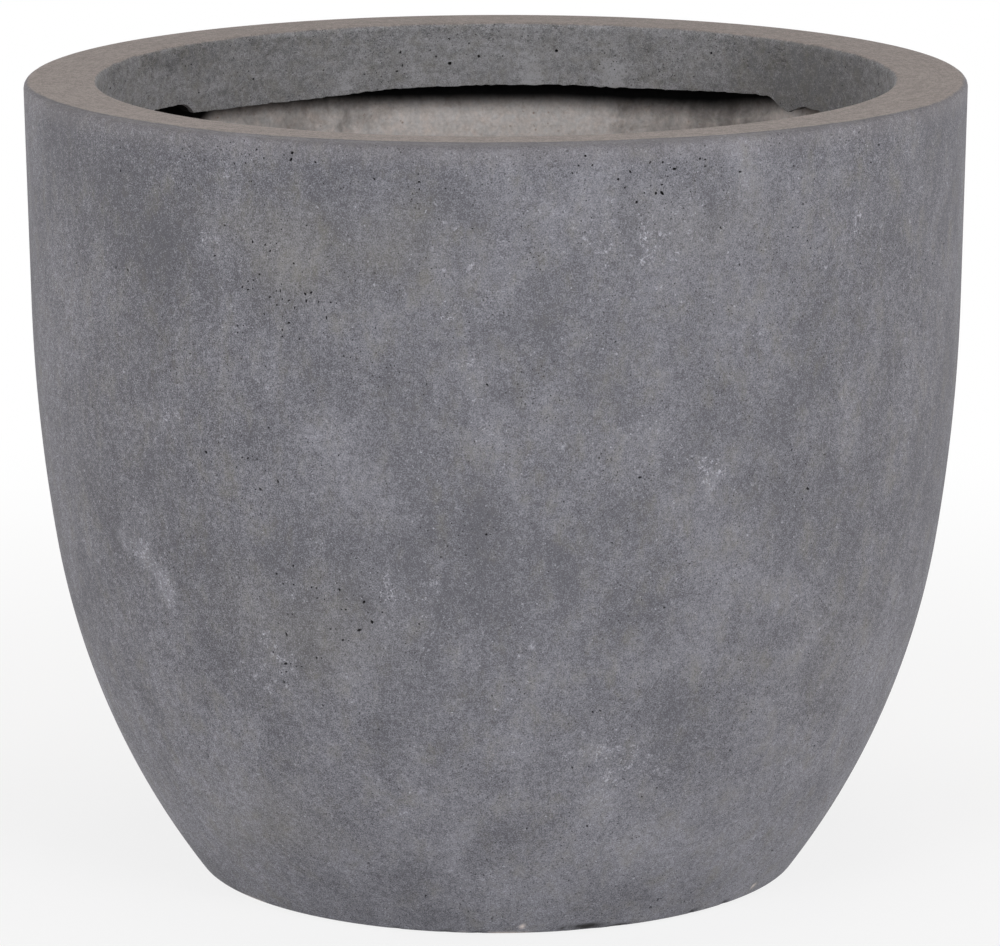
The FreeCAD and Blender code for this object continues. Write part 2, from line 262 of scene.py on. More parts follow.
class PlanterFinish(bpy.types.PropertyGroup):
    """Colours and hand marks of the pot"""

    coat_dark: colour("Coat, dark", "Darkest cloud of the face coat", (0.084, 0.083, 0.094))
    coat_pale: colour("Coat, pale", "Palest cloud of the face coat", (0.358, 0.357, 0.393))
    rim_dust: colour("Rim, pale", "Warm tone of the rubbed rim", (0.327, 0.285, 0.264))
    rim_dark: colour("Rim, dark", "Darker grain of the rubbed rim", (0.200, 0.174, 0.160))
    drop_dust: colour("Drop, pale", "Dry, neutral slurry on the drop inside the mouth", (0.350, 0.349, 0.362))
    drop_dark: colour("Drop, dark", "Darker grain of the drop inside the mouth", (0.128, 0.128, 0.131))
    bloom: colour("Bloom", "Lime that has come out on the surface", (0.52, 0.52, 0.57))
    stain: colour("Stain", "Olive stain in the face coat", (0.168, 0.156, 0.118))
    # The pore colour is dirt and painted shade: pinholes, knocks and pores take it for the dirt and the shade in
    # them, and cracks on the drop take it too.
    pore_dirt_and_shade: colour("Pore", "Dirt in the pinholes", (0.012, 0.011, 0.011))
    raw: colour("Raw clay", "Inside of the pot", (0.80, 0.695, 0.632))
    raw_cool: colour("Raw clay, cool", "Greyer parts of the inside", (0.69, 0.702, 0.712))
    # Painted shadow: the raw clay high in the hollow under the rim takes this near-black colour for the shade there.
    painted_shadow: colour("Painted shadow", "Soot-dark grime in the hollow under the rim", (0.001, 0.0012, 0.0015))
    rust: colour("Rust", "Brown specks and blots on the raw clay", (0.25, 0.155, 0.096))
    raw_stain: colour("Raw stain", "Damp marks and iron on the raw clay", (0.185, 0.168, 0.157))
    rubber: colour("Rubber", "Drain plug", (0.018, 0.018, 0.019))
    pinholes: bpy.props.IntProperty(
        name="Pinholes", description="Pinholes spread over the coat, beside the grouped ones", default=480, min=0)
    seed: bpy.props.IntProperty(name="Seed", description="Choice of the scattered marks", default=7)


class PlanterStage(bpy.types.PropertyGroup):
    """Camera and light of the studio"""

    camera_distance: length("Distance", "Camera in front of the pot's axis", 2.5303)
    camera_height: length("Height", "Camera above the floor", 0.72451)
    camera_aside: length("Aside", "Camera to the right of the pot's axis", 0.0016)
    camera_tilt: angle("Tilt", "How far the camera looks down", 12.1383)
    camera_roll: angle("Roll", "Turn of the camera about its line of sight", -0.12)
    lens: bpy.props.FloatProperty(name="Lens", description="Focal length", default=201.04, subtype="DISTANCE_CAMERA")
    floor: colour("Floor", "Studio floor", (0.86, 0.86, 0.86))
    ambient: colour("Ambient", "Light from all round", (0.10, 0.10, 0.105))


def outward(lean):
    """Direction straight out of a wall that leans in by this many radians towards the ground."""
    return cmath.exp(-1j * lean)


def run(start, end, pitch):
    """Points from a start to an end, no more than a pitch apart."""
    count = max(1, math.ceil(abs(end - start) / pitch))
    return [start + (end - start) * i / count for i in range(count + 1)]


def arc(centre, start, end, pitch):
    """Points round a centre from a start to an end, no more than a pitch apart."""
    sweep = cmath.phase((end - centre) / (start - centre))
    count = max(1, math.ceil(abs(start - centre) * abs(sweep) / pitch))
    return [centre + (start - centre) * cmath.exp(1j * sweep * i / count) for i in range(count + 1)]


def round_centre(first, second, third):
    """Centre of the circle through three points."""
    ratio = (third - first) / (second - first)
    return first + (second - first) * (ratio - abs(ratio) ** 2) / (2j * ratio.imag)


def rounding(before, corner, after, radius, pitch):
    """Points of the arc that rounds a corner between two straight lines."""
    side_in = (before - corner) / abs(before - corner)
    side_out = (after - corner) / abs(after - corner)
    half_angle = abs(cmath.phase(side_out / side_in)) / 2
    reach = radius / math.tan(half_angle)
    bisector = (side_in + side_out) / abs(side_in + side_out)
    centre = corner + bisector * radius / math.sin(half_angle)
    return arc(centre, corner + side_in * reach, corner + side_out * reach, pitch)


def chain(corners, pitch, round_pitch=0.0012):
    """Points along straight runs from corner to corner. Each corner comes with its rounding."""
    points = []
    for i, (corner, radius) in enumerate(corners):
        turn = [corner]
        if radius > 0:
            turn = rounding(corners[i - 1][0], corner, corners[i + 1][0], radius, round_pitch)
        points += run(points[-1], turn[0], pitch)[1:-1] + turn if points else turn
    return points


class PotSection:
    """Lines of the pot's half section, laid out from its sizes as the solids are.

    A point is a complex number: its radius plus its height times 1j, in metres.
    """

    def __init__(self, sizes):
        self.sizes = sizes
        self.rim_radius = MOUTH_RADIUS + sizes.rim_width
        self.drain_radius = sizes.drain_diameter / 2
        self.wall_back = sizes.face_coat + sizes.wall_body
        self.rim_back = sizes.face_coat + sizes.rim_body
        self.under_rim = TOP - self.rim_back
        belly_start = self.on_straight(TOP - sizes.straight_wall, 0)
        self.belly_centre = belly_start - outward(sizes.wall_taper) * sizes.belly_radius
        belly_end = self.on_belly(sizes.belly_turn, 0)
        to_base = sizes.base_diameter / 2 - belly_end
        sink = -(to_base * outward(sizes.belly_turn).conjugate()).real
        self.lower_radius = abs(to_base) ** 2 / (2 * sink)
        self.lower_centre = belly_end - outward(sizes.belly_turn) * self.lower_radius
        edge_rise = self.lower_centre.imag - sizes.base_rounding
        edge_reach = math.sqrt((self.lower_radius - sizes.base_rounding) ** 2 - edge_rise ** 2)
        self.edge_centre = complex(self.lower_centre.real + edge_reach, sizes.base_rounding)
        self.hem_lean = -cmath.phase(self.edge_centre - self.lower_centre)
        self.hem = self.on_lower(self.hem_lean, 0)
        self.ground_edge = complex(self.edge_centre.real, 0)

    def on_straight(self, height, depth):
        lean = self.sizes.wall_taper
        return complex(self.rim_radius - (TOP - height) * math.tan(lean) - depth / math.cos(lean), height)

    def on_belly(self, lean, depth):
        return self.belly_centre + outward(lean) * (self.sizes.belly_radius - depth)

    def on_lower(self, lean, depth):
        return self.lower_centre + outward(lean) * (self.lower_radius - depth)

    def on_lower_at(self, height, depth):
        return self.on_lower(math.asin((self.lower_centre.imag - height) / (self.lower_radius - depth)), depth)

    def up_wall(self, depth, foot, pitch):
        """Points up the wall at a depth behind its face, from a point on the lower curve to the straight wall."""
        knee = self.on_lower(self.sizes.belly_turn, depth)
        lower = arc(self.lower_centre, foot, knee, pitch)
        return lower[:-1] + arc(self.belly_centre, knee, self.on_belly(self.sizes.wall_taper, depth), pitch)

    def rim_outer_corner(self, depth):
        return self.on_straight(TOP - depth, depth)

    def rim_inner_corner(self, depth):
        return complex(MOUTH_RADIUS + depth, TOP - depth)

    def drop_end(self, depth):
        return complex(MOUTH_RADIUS + depth, DROP_EDGE)

    def over_rim(self, depth, pitch):
        """Points from the straight wall over the rim to the end of the drop, at a depth behind the face."""
        return chain((
            (self.on_belly(self.sizes.wall_taper, depth), 0),
            (self.rim_outer_corner(depth), self.sizes.rim_outer_rounding - depth),
            (self.rim_inner_corner(depth), self.sizes.rim_inner_rounding - depth),
            (self.drop_end(depth), 0)), pitch)

    def wall_cove(self, depth, level, pitch):
        """Points of the cove from the wall's back, at a depth, into the roof of the hollow at a level."""
        corner = self.on_straight(level, depth)
        radius = self.sizes.under_rim_cove - (depth - self.wall_back)
        return rounding(self.on_belly(self.sizes.wall_taper, depth), corner, corner - 1, radius, pitch)

    def face_coat(self):
        """Face and back of the pigmented skin, from the ground to the end of the drop."""
        coat = self.sizes.face_coat
        foot = self.on_lower(self.hem_lean - 0.02, 0)
        face = arc(self.edge_centre, self.ground_edge, self.hem, 0.6 * MM)[:-1]
        face += arc(self.lower_centre, self.hem, foot, 1.2 * MM)[:-1]
        face += self.up_wall(0, foot, 4.8 * MM)[:-1] + self.over_rim(0, 3.4 * MM)
        back = self.up_wall(coat, self.on_lower(self.hem_lean, coat), 20 * MM)[:-1] + self.over_rim(coat, 9 * MM)
        return face, back[::-1]

    def rim_core(self):
        """Front and back of the clay behind the rim's skin."""
        coat, back = self.sizes.face_coat, self.rim_back
        top = self.on_straight(self.under_rim, coat)
        front = chain((
            (top, 0),
            (self.rim_outer_corner(coat), self.sizes.rim_outer_rounding - coat),
            (self.rim_inner_corner(coat), self.sizes.rim_inner_rounding - coat),
            (self.drop_end(coat), 0)), 5 * MM)
        hollow = chain((
            (self.drop_end(back), 0), (self.rim_inner_corner(back), self.sizes.under_rim_cove), (top, 0)), 5 * MM)
        return front, hollow[:-1]

    def rim_lining(self):
        """Laid side and open side of the cloth in the hollow under the rim."""
        sizes, back = self.sizes, self.rim_back
        laid = chain((
            (self.drop_end(back), 0),
            (self.rim_inner_corner(back), sizes.under_rim_cove),
            (self.wall_cove(self.wall_back, self.under_rim, MM)[-1], 0)), 5 * MM)
        clear = chain((
            (self.wall_cove(self.wall_back + sizes.cloth, self.under_rim - sizes.cloth, MM)[-1], 0),
            (self.rim_inner_corner(back + sizes.cloth), sizes.under_rim_cove - sizes.cloth),
            (self.drop_end(back + sizes.cloth), 0)), 3 * MM)
        return laid, clear

    def wall_lining(self):
        """Laid side and open side of the cloth on the back of the wall."""
        lining = self.wall_back + self.sizes.cloth
        laid = self.up_wall(self.wall_back, self.on_lower_at(FLOOR_TOP, self.wall_back), 15 * MM)
        laid += self.wall_cove(self.wall_back, self.under_rim, 2 * MM)
        cove = self.wall_cove(lining, self.under_rim - self.sizes.cloth, 1.5 * MM)
        clear = self.up_wall(lining, self.on_lower_at(FLOOR_TOP, lining), 4 * MM)
        clear += run(clear[-1], cove[0], 4 * MM)[1:-1] + cove
        return laid, clear[::-1]

    def floor_slab(self):
        """Inside and underside of the clay floor, whose edge stands on the ground."""
        coat = self.sizes.face_coat
        hem_back = self.on_lower(self.hem_lean, coat)
        inside = [hem_back] + arc(self.lower_centre, hem_back, self.on_lower_at(FLOOR_LEVEL, coat), 6 * MM)[1:]
        inside += run(inside[-1], complex(self.drain_radius, FLOOR_LEVEL), 8 * MM)[1:]
        recess = self.sizes.foot_recess
        foot = self.ground_edge.real - self.sizes.foot_width
        under = chain((
            (complex(self.drain_radius, FLOOR_LEVEL - 2 * MM), 0),
            (complex(self.drain_radius, recess), 0.8 * MM),
            (complex(foot - self.sizes.foot_draft, recess), 1.5 * MM),
            (complex(foot, 0), 1.0 * MM),
            (self.ground_edge, 0)), 4 * MM, 0.6 * MM)
        return inside, under

    def floor_lining(self):
        """Laid side and open side of the cloth disc on the floor."""
        rim = self.on_lower_at(FLOOR_LEVEL, self.wall_back)
        top = self.on_lower_at(FLOOR_TOP, self.wall_back)
        laid = run(complex(self.drain_radius, FLOOR_LEVEL), rim, 12 * MM)
        return laid, run(top, complex(self.drain_radius, FLOOR_TOP), 3.5 * MM)

    def corner_bead(self):
        """Bonded sides and open side of the bead in the inside corner."""
        lining = self.wall_back + self.sizes.cloth
        corner = self.on_lower_at(FLOOR_TOP, lining)
        wall_leg = self.on_lower_at(BEAD_TOP, lining)
        floor_leg = corner - (BEAD_TOP - FLOOR_TOP)
        bonded = run(floor_leg, corner, 6 * MM)[1:-1] + arc(self.lower_centre, corner, wall_leg, 6 * MM)[:-1]
        middle = (floor_leg + wall_leg) / 2
        hollow = middle + (corner - middle) / abs(corner - middle) * self.sizes.bead_hollow
        return bonded, arc(round_centre(wall_leg, hollow, floor_leg), wall_leg, floor_leg, 1.6 * MM)


def turned(name, clear, closing, steps=480):
    """A piece turned on the pot's axis from its half section.

    The section is drawn vertex by vertex and turned by a Screw modifier. The vertices of its first part, whose
    surface is seen, go into the vertex group "clear".
    """
    bpy.ops.object.select_all(action="DESELECT")
    bpy.ops.mesh.primitive_plane_add(size=0.01)
    piece = bpy.context.object
    piece.name = piece.data.name = name
    bpy.ops.object.mode_set(mode="EDIT")
    bpy.ops.mesh.select_mode(type="VERT")
    bpy.ops.mesh.select_all(action="SELECT")
    bpy.ops.mesh.merge(type="CENTER")
    points = clear + closing
    bpy.ops.transform.translate(value=(points[0].real, 0, points[0].imag))
    for last, point in zip(points, points[1:] + points[:1]):
        move = point - last
        bpy.ops.mesh.extrude_region_move(TRANSFORM_OT_translate={"value": (move.real, 0, move.imag)})
    bpy.ops.mesh.select_all(action="SELECT")
    bpy.ops.mesh.remove_doubles(threshold=WELD)
    bpy.ops.object.mode_set(mode="OBJECT")
    piece.vertex_groups.new(name="clear").add(range(len(clear)), 1, "REPLACE")
    turn = piece.modifiers.new("turn", "SCREW")
    turn.axis = "Z"
    turn.angle = math.tau
    turn.steps = turn.render_steps = steps
    bpy.ops.object.modifier_apply(modifier=turn.name)
    bpy.ops.object.mode_set(mode="EDIT")
    bpy.ops.mesh.select_all(action="SELECT")
    bpy.ops.mesh.remove_doubles(threshold=WELD)
    bpy.ops.mesh.normals_make_consistent(inside=False)
    bpy.ops.object.mode_set(mode="OBJECT")
    return piece


def only(piece):
    """Makes a piece the active object, and selects it alone."""
    bpy.ops.object.select_all(action="DESELECT")
    piece.select_set(True)
    bpy.context.view_layer.objects.active = piece


def rows(items, field):
    """A field of each vertex or face, one row of three each."""
    found = np.empty(len(items) * 3)
    items.foreach_get(field, found)
    return found.reshape(-1, 3)


def places(piece):
    """Where a piece's vertices are, one row each."""
    return rows(piece.data.vertices, "co")


def move_to(piece, found):
    """Puts a piece's vertices where the rows say."""
    piece.data.vertices.foreach_set("co", found.ravel())
    piece.data.update()


def around(found):
    """Degrees from the front towards the right, seen from the front."""
    return np.degrees(np.arctan2(found[:, 0], -found[:, 1]))


def from_axis(found):
    """Distance of each place from the pot's axis."""
    return np.hypot(found[:, 0], found[:, 1])


def turns_between(first, second):
    """Degrees from one direction to another, the short way."""
    return (first - second + 180) % 360 - 180


def roughly(found, size):
    """Smooth noise at each place, from -1 to 1, with features of about this size."""
    return np.array([noise.noise(Vector(place) / size) for place in found])


def patch(directions, heights, mark, radius):
    """1 in the middle of a mark and 0 well outside it.

    The mark is a direction in degrees, and a height, a half width and a half height in mm, as the radius is.
    """
    direction, height, half_width, half_height = mark
    aside = np.radians(turns_between(directions, direction)) * radius / half_width
    return np.exp(-aside ** 2 - ((heights - height) / half_height) ** 2)


def store(piece, name, values):
    """Keeps a value for each vertex of a piece under a name, for its finish."""
    piece.data.attributes.new(name, "FLOAT", "POINT").data.foreach_set("value", values.astype(np.float32))


def lumps(piece, size, height):
    """Hand-laid unevenness: the open side swells by up to a height, with swellings of a size."""
    texture = bpy.data.textures.new(piece.name + "_lumps", "CLOUDS")
    texture.noise_scale = size
    texture.noise_depth = 3
    only(piece)
    swell = piece.modifiers.new("lumps", "DISPLACE")
    swell.texture = texture
    swell.texture_coords = "LOCAL"
    swell.vertex_group = "clear"
    swell.strength = height
    swell.mid_level = 0
    bpy.ops.object.modifier_apply(modifier=swell.name)


def trim_drop(piece, recess=0.0):
    """Cuts the lower edge of the drop as the maker did by hand, with a layer set back by a recess."""
    found = places(piece)
    radius, height = from_axis(found), found[:, 2]
    hung = (radius < DROP_BACK) & (height < TRIM_START) & (height > DROP_EDGE - MM)
    behind = np.arctan2(found[hung, 0], found[hung, 1])
    depth = np.interp(np.degrees(behind), *zip(*DROP_TRIM)) * MM - recess
    ring = np.column_stack((np.sin(behind), np.cos(behind), np.full(len(behind), radius.min())))
    waver = 0.35 * MM * roughly(ring, 0.055)
    nicks = 0.6 * MM * np.clip(roughly(ring, 0.013), -1, 0.5)
    share = (TRIM_START - height[hung]) / (TRIM_START - DROP_EDGE)
    found[hung, 2] = TRIM_START - share * (TRIM_START - TOP + depth + waver + nicks)
    move_to(piece, found)


def open_side(piece):
    """1 for each vertex of a piece's open side and 0 for the others."""
    group = piece.vertex_groups["clear"].index
    return np.array([any(g.group == group for g in vertex.groups) for vertex in piece.data.vertices])


def fingered(piece):
    """Draws the bead's inner edge in and out and swells its face, as a finger leaves them."""
    found = places(piece)
    radius = from_axis(found)
    share = (radius.max() - radius) / (radius.max() - radius.min())
    swelling = 0.9 * MM * roughly(found, 0.019) * 4 * share * (1 - share)
    drawn = 5 * MM * roughly(found, 0.03) + 2 * MM * roughly(found, 0.011)
    found[:, 2] += open_side(piece) * swelling
    found[:, :2] *= 1 + (share * drawn / radius)[:, None]
    move_to(piece, found)


def lapped(piece):
    """Thickens the cloth on the wall where one strip ends on top of the next."""
    found = places(piece)
    wander = 2.2 * roughly(found, 0.05) + 0.9 * roughly(found, 0.012)
    directions = around(found) + wander
    step = np.full(len(found), 360.0)
    for lap in LAPS:
        step = np.minimum(step, (directions - lap) % 360)
    inward = open_side(piece) * LAP_RISE * np.clip(1 - step / LAP_FADE, 0, 1)
    found[:, :2] *= 1 - (inward / from_axis(found))[:, None]
    move_to(piece, found)


def dress(piece, finish):
    """Gives a piece a finish in place of any other."""
    piece.data.materials.clear()
    piece.data.materials.append(finish)


def settle(piece, body, slot, finish, *nodes):
    """Shades a piece smooth but for its sharp edges, dresses it, and puts it on its body in place of its solids."""
    only(piece)
    bpy.ops.object.shade_smooth_by_angle(angle=SHARP_EDGE)
    dress(piece, finish)
    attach(piece, body)
    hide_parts(*nodes)


def pick(piece, chosen):
    """Selects faces of a piece by their indices, and nothing else, and goes into edit mode."""
    only(piece)
    bpy.ops.object.mode_set(mode="EDIT")
    bpy.ops.mesh.select_mode(type="FACE")
    bpy.ops.mesh.select_all(action="DESELECT")
    bpy.ops.object.mode_set(mode="OBJECT")
    flags = np.zeros(len(piece.data.polygons), bool)
    flags[list(chosen)] = True
    piece.data.polygons.foreach_set("select", flags)
    bpy.ops.object.mode_set(mode="EDIT")


def eight_sided(piece):
    """Faces with eight corners: the mouths of the pinholes."""
    return [face for face in piece.data.polygons if face.loop_total == 8]


def pinholes(piece, marks, chance):
    """Sinks pinholes into the face coat, and gives 1 for each vertex of their floors and 0 for the others.

    Each mark is a direction in degrees, a height and a radius in metres, and whether it is on the drop. The face
    nearest to it is inset and its corners are cut off. The eight corners then go round the hole's mouth, and a
    second inset is pushed in for its floor.
    """
    faces = piece.data.polygons
    centres, normals = rows(faces, "center"), rows(faces, "normal")
    areas = np.array([face.area for face in faces])
    directions, radii = around(centres), from_axis(centres)
    faces_out = np.einsum("ij,ij->i", normals[:, :2], centres[:, :2]) > 0
    open_wall = faces_out & (areas > WALL_FACE)
    open_drop = ~faces_out & (radii < MOUTH_RADIUS + MM) & (areas > DROP_FACE)
    holes = {}
    for direction, height, radius, on_drop in marks:
        gap = np.hypot(np.radians(turns_between(directions, direction)) * radii, centres[:, 2] - height)
        gap[~(open_drop if on_drop else open_wall)] = 1
        holes.setdefault(int(gap.argmin()), radius)
    sizes = np.array([[*centres[face], radius] for face, radius in holes.items()])
    pick(piece, holes)
    bpy.ops.mesh.inset(thickness=HOLE_ROOM, use_individual=True)
    bpy.ops.mesh.bevel(offset=HOLE_CUT, affect="VERTICES")
    bpy.ops.object.mode_set(mode="OBJECT")
    found = places(piece)
    for mouth in eight_sided(piece):
        corners = list(mouth.vertices)
        middle = found[corners].mean(axis=0)
        radius = sizes[np.linalg.norm(sizes[:, :3] - middle, axis=1).argmin(), 3]
        normal = np.array(mouth.normal)
        first = (found[corners[0]] - middle) / np.linalg.norm(found[corners[0]] - middle)
        second = np.cross(normal, first)
        turn = np.arange(8) * math.tau / 8
        spread = np.outer(np.cos(turn), first) + np.outer(np.sin(turn), second)
        stretch = spread[chance.randrange(8)]
        spread += np.outer(spread @ stretch, stretch) * chance.uniform(0, 1) ** 2
        wobble = np.array([chance.uniform(0.75, 1.2) for _ in corners])[:, None]
        drift = max(0, MM - radius) * np.cross(normal, stretch) * chance.uniform(-1, 1)
        found[corners] = middle + drift + spread * wobble * radius
    move_to(piece, found)
    pick(piece, [mouth.index for mouth in eight_sided(piece)])
    bpy.ops.mesh.inset(thickness=HOLE_LIP, use_individual=True)
    bpy.ops.object.mode_set(mode="OBJECT")
    found = places(piece)
    deep = np.zeros(len(found))
    for floor in eight_sided(piece):
        corners = list(floor.vertices)
        across = np.linalg.norm(found[corners] - found[corners].mean(axis=0), axis=1).mean()
        found[corners] -= np.array(floor.normal) * min(HOLE_DEPTH, across * 1.9 + 0.3 * MM)
        deep[corners] = 1
    move_to(piece, found)
    return deep


def pinhole_marks(look, chance):
    """Where the pinholes go: the groups, then others spread over the wall and the drop."""
    marks = []
    for turn, (direction, height, spread, size, count) in itertools.product(GROUP_TURNS, PINHOLE_GROUPS):
        for _ in range(count):
            aside = turn + math.degrees(chance.gauss(0, spread * 0.6) / WALL_MM)
            marks.append((direction + aside, (height + chance.gauss(0, spread * 0.5)) * MM,
                          size * chance.uniform(0.42, 0.8) * MM, False))
    for heights, scale, on_drop in itertools.islice(itertools.cycle(PINHOLE_BANDS), look.pinholes):
        direction = chance.uniform(-180, 180)
        size = 0.24 + 0.32 * chance.random() ** 3
        marks.append((direction, chance.uniform(*heights), scale * size * MM, on_drop))
    return marks


def chipped(piece, pit_dirt_and_shade):
    """Knocks the edge at the ground, and stores the pits, with the shadow painted in the knocks added, and the wear.
    """
    found = places(piece)
    directions, heights = around(found), found[:, 2] / MM
    low = (heights < EDGE_TOP) & (from_axis(found) > EDGE_INSIDE)
    ragged = roughly(found, 2.2 * MM)
    rubbed = np.exp(-(turns_between(directions, BARE_MIDDLE) / BARE_HALF) ** 4) + 4 * roughly(found, 34 * MM) - 0.6
    worn = np.clip(1.3 - heights / 1.1, 0, 1) * np.clip(rubbed + 0.6 * ragged, 0, 0.75)
    for *mark, depth, dark in CHIPS:
        inside = np.clip(1.5 * patch(directions, heights, mark, EDGE_MM) + 0.35 * ragged - 0.25, 0, 1)
        found[low, :2] *= 1 - inside[low, None] * depth * MM / EDGE_RADIUS
        pit_dirt_and_shade = np.where(low, np.maximum(pit_dirt_and_shade, inside * dark), pit_dirt_and_shade)
        worn = np.where(inside > 0.05, np.where(dark == 0, 0.8 * inside, 0), worn)
    move_to(piece, found)
    store(piece, "pit_dirt_and_shade", pit_dirt_and_shade)
    store(piece, "worn", np.where(low, worn, 0))


def painted(piece, name, patches, chance=None, extra=0):
    """Stores soft patches on a piece under a name, with some extra ones spread over its unseen sides."""
    found = places(piece)
    shifted = found + WANDER * np.column_stack([roughly(found + offset, BAYS) for offset in (0, 5, 9)])
    directions, heights = around(shifted), shifted[:, 2] / MM
    spread = list(patches)
    for _ in range(extra):
        model = chance.choice(patches)
        spread.append((chance.uniform(*UNSEEN_SIDES), chance.uniform(*UNSEEN_HEIGHTS), *model[2:]))
    tone = np.zeros(len(found))
    for *mark, strength in spread:
        tone += strength * patch(directions, heights, mark, WALL_MM)
    store(piece, name, np.clip(tone, -STRONGEST, STRONGEST))


class Value:
    """A socket in a node tree. Arithmetic on it adds Math nodes."""

    def __init__(self, tree, socket):
        self.tree = tree
        self.socket = socket

    def math(self, operation, *terms):
        return self.tree.node("ShaderNodeMath", {"operation": operation}, dict(enumerate(terms)))

    def __add__(self, other):
        return self.math("ADD", self, other)

    def __sub__(self, other):
        return self.math("SUBTRACT", self, other)

    def __rsub__(self, other):
        return self.math("SUBTRACT", other, self)

    def __mul__(self, other):
        return self.math("MULTIPLY", self, other)

    def __truediv__(self, other):
        return self.math("DIVIDE", self, other)

    def __pow__(self, other):
        return self.math("POWER", self, other)

    def __neg__(self):
        return 0 - self

    def __abs__(self):
        return self.math("ABSOLUTE", self)

    def larger(self, other):
        return self.math("MAXIMUM", self, other)

    def sine(self):
        return self.math("SINE", self)

    __radd__ = __add__
    __rmul__ = __mul__


class NodeTree:
    """A material's or the world's nodes while they are laid out."""

    def __init__(self, owner):
        owner.use_nodes = True
        self.owner = owner
        self.nodes = owner.node_tree.nodes
        self.links = owner.node_tree.links

    def node(self, kind, settings=None, sockets=None, output=0):
        """Adds a node, sets its settings and then its sockets, and gives one of its outputs."""
        made = self.nodes.new(kind)
        for name, setting in (settings or {}).items():
            setattr(made, name, setting)
        for name, value in (sockets or {}).items():
            self.feed(made.inputs[name], value)
        return Value(self, made.outputs[output])

    def feed(self, socket, value):
        """Links a value to a socket, or sets the socket to a number or a colour."""
        if isinstance(value, Value):
            self.links.new(value.socket, socket)
        elif socket.type == "RGBA":
            socket.default_value = (*value, 1)
        else:
            socket.default_value = value

    def mix(self, share, first, second):
        """A colour between two others."""
        return self.node("ShaderNodeMix", {"data_type": "RGBA"}, {0: share, 6: first, 7: second}, 2)

    def step(self, value, low, high):
        """0 below a low value, 1 above a high one and smooth between them."""
        return self.node("ShaderNodeMapRange", {"interpolation_type": "SMOOTHSTEP"},
                         {"Value": value, "From Min": low, "From Max": high})


class Finish(NodeTree):
    """A material whose pattern lies on Object coordinates."""

    def __init__(self, name):
        super().__init__(bpy.data.materials.new(name))
        self.shader = self.nodes["Principled BSDF"]
        self.place = self.node("ShaderNodeTexCoord", output="Object")

    def along(self, axis):
        """A point's place along an axis."""
        return self.node("ShaderNodeSeparateXYZ", sockets={0: self.place}, output=axis)

    def out(self):
        """A point's distance from the pot's axis."""
        x, y = self.along("X"), self.along("Y")
        return (x * x + y * y) ** 0.5

    def stretched(self, x, y, z):
        """Places scaled along each axis, to draw a pattern out."""
        return self.node("ShaderNodeVectorMath", {"operation": "MULTIPLY"}, {0: self.place, 1: (x, y, z)})

    def shifted(self, x, y, z):
        """Places moved aside, to draw a pattern again beside itself."""
        return self.node("ShaderNodeVectorMath", None, {0: self.place, 1: (x, y, z)})

    def clouds(self, size, detail=1.0, rough=0.5, warp=0.0, place=None):
        """Noise from about -1 to 1 with features of about this size in metres."""
        fac = self.node("ShaderNodeTexNoise", None, {
            "Vector": place or self.place, "Scale": 1 / size, "Detail": detail, "Roughness": rough,
            "Distortion": warp})
        return fac * 2 - 1

    def specks(self, size, low, high, place=None):
        """Round specks, one in each cell of this size: 1 in the middle and 0 outside, by distance in cells."""
        gap = self.node("ShaderNodeTexVoronoi", None, {"Vector": place or self.place, "Scale": 1 / size})
        return 1 - self.step(gap, low, high)

    def attribute(self, name):
        """What is stored on the piece under a name."""
        return self.node("ShaderNodeAttribute", {"attribute_name": name}, output="Fac")

    def bump(self, height_mm, strength):
        """Normal of a surface that rises by a height in millimetres."""
        return self.node(
            "ShaderNodeBump", None, {"Strength": strength, "Distance": MM, "Height": height_mm}, "Normal")

    def done(self, colour, roughness, normal, specular):
        """Feeds the shader, sets what is the same all over and gives the material."""
        sockets = {"Base Color": colour, "Roughness": roughness, "Normal": normal, "Specular IOR Level": specular}
        for name, value in sockets.items():
            self.feed(self.shader.inputs[name], value)
        return self.owner


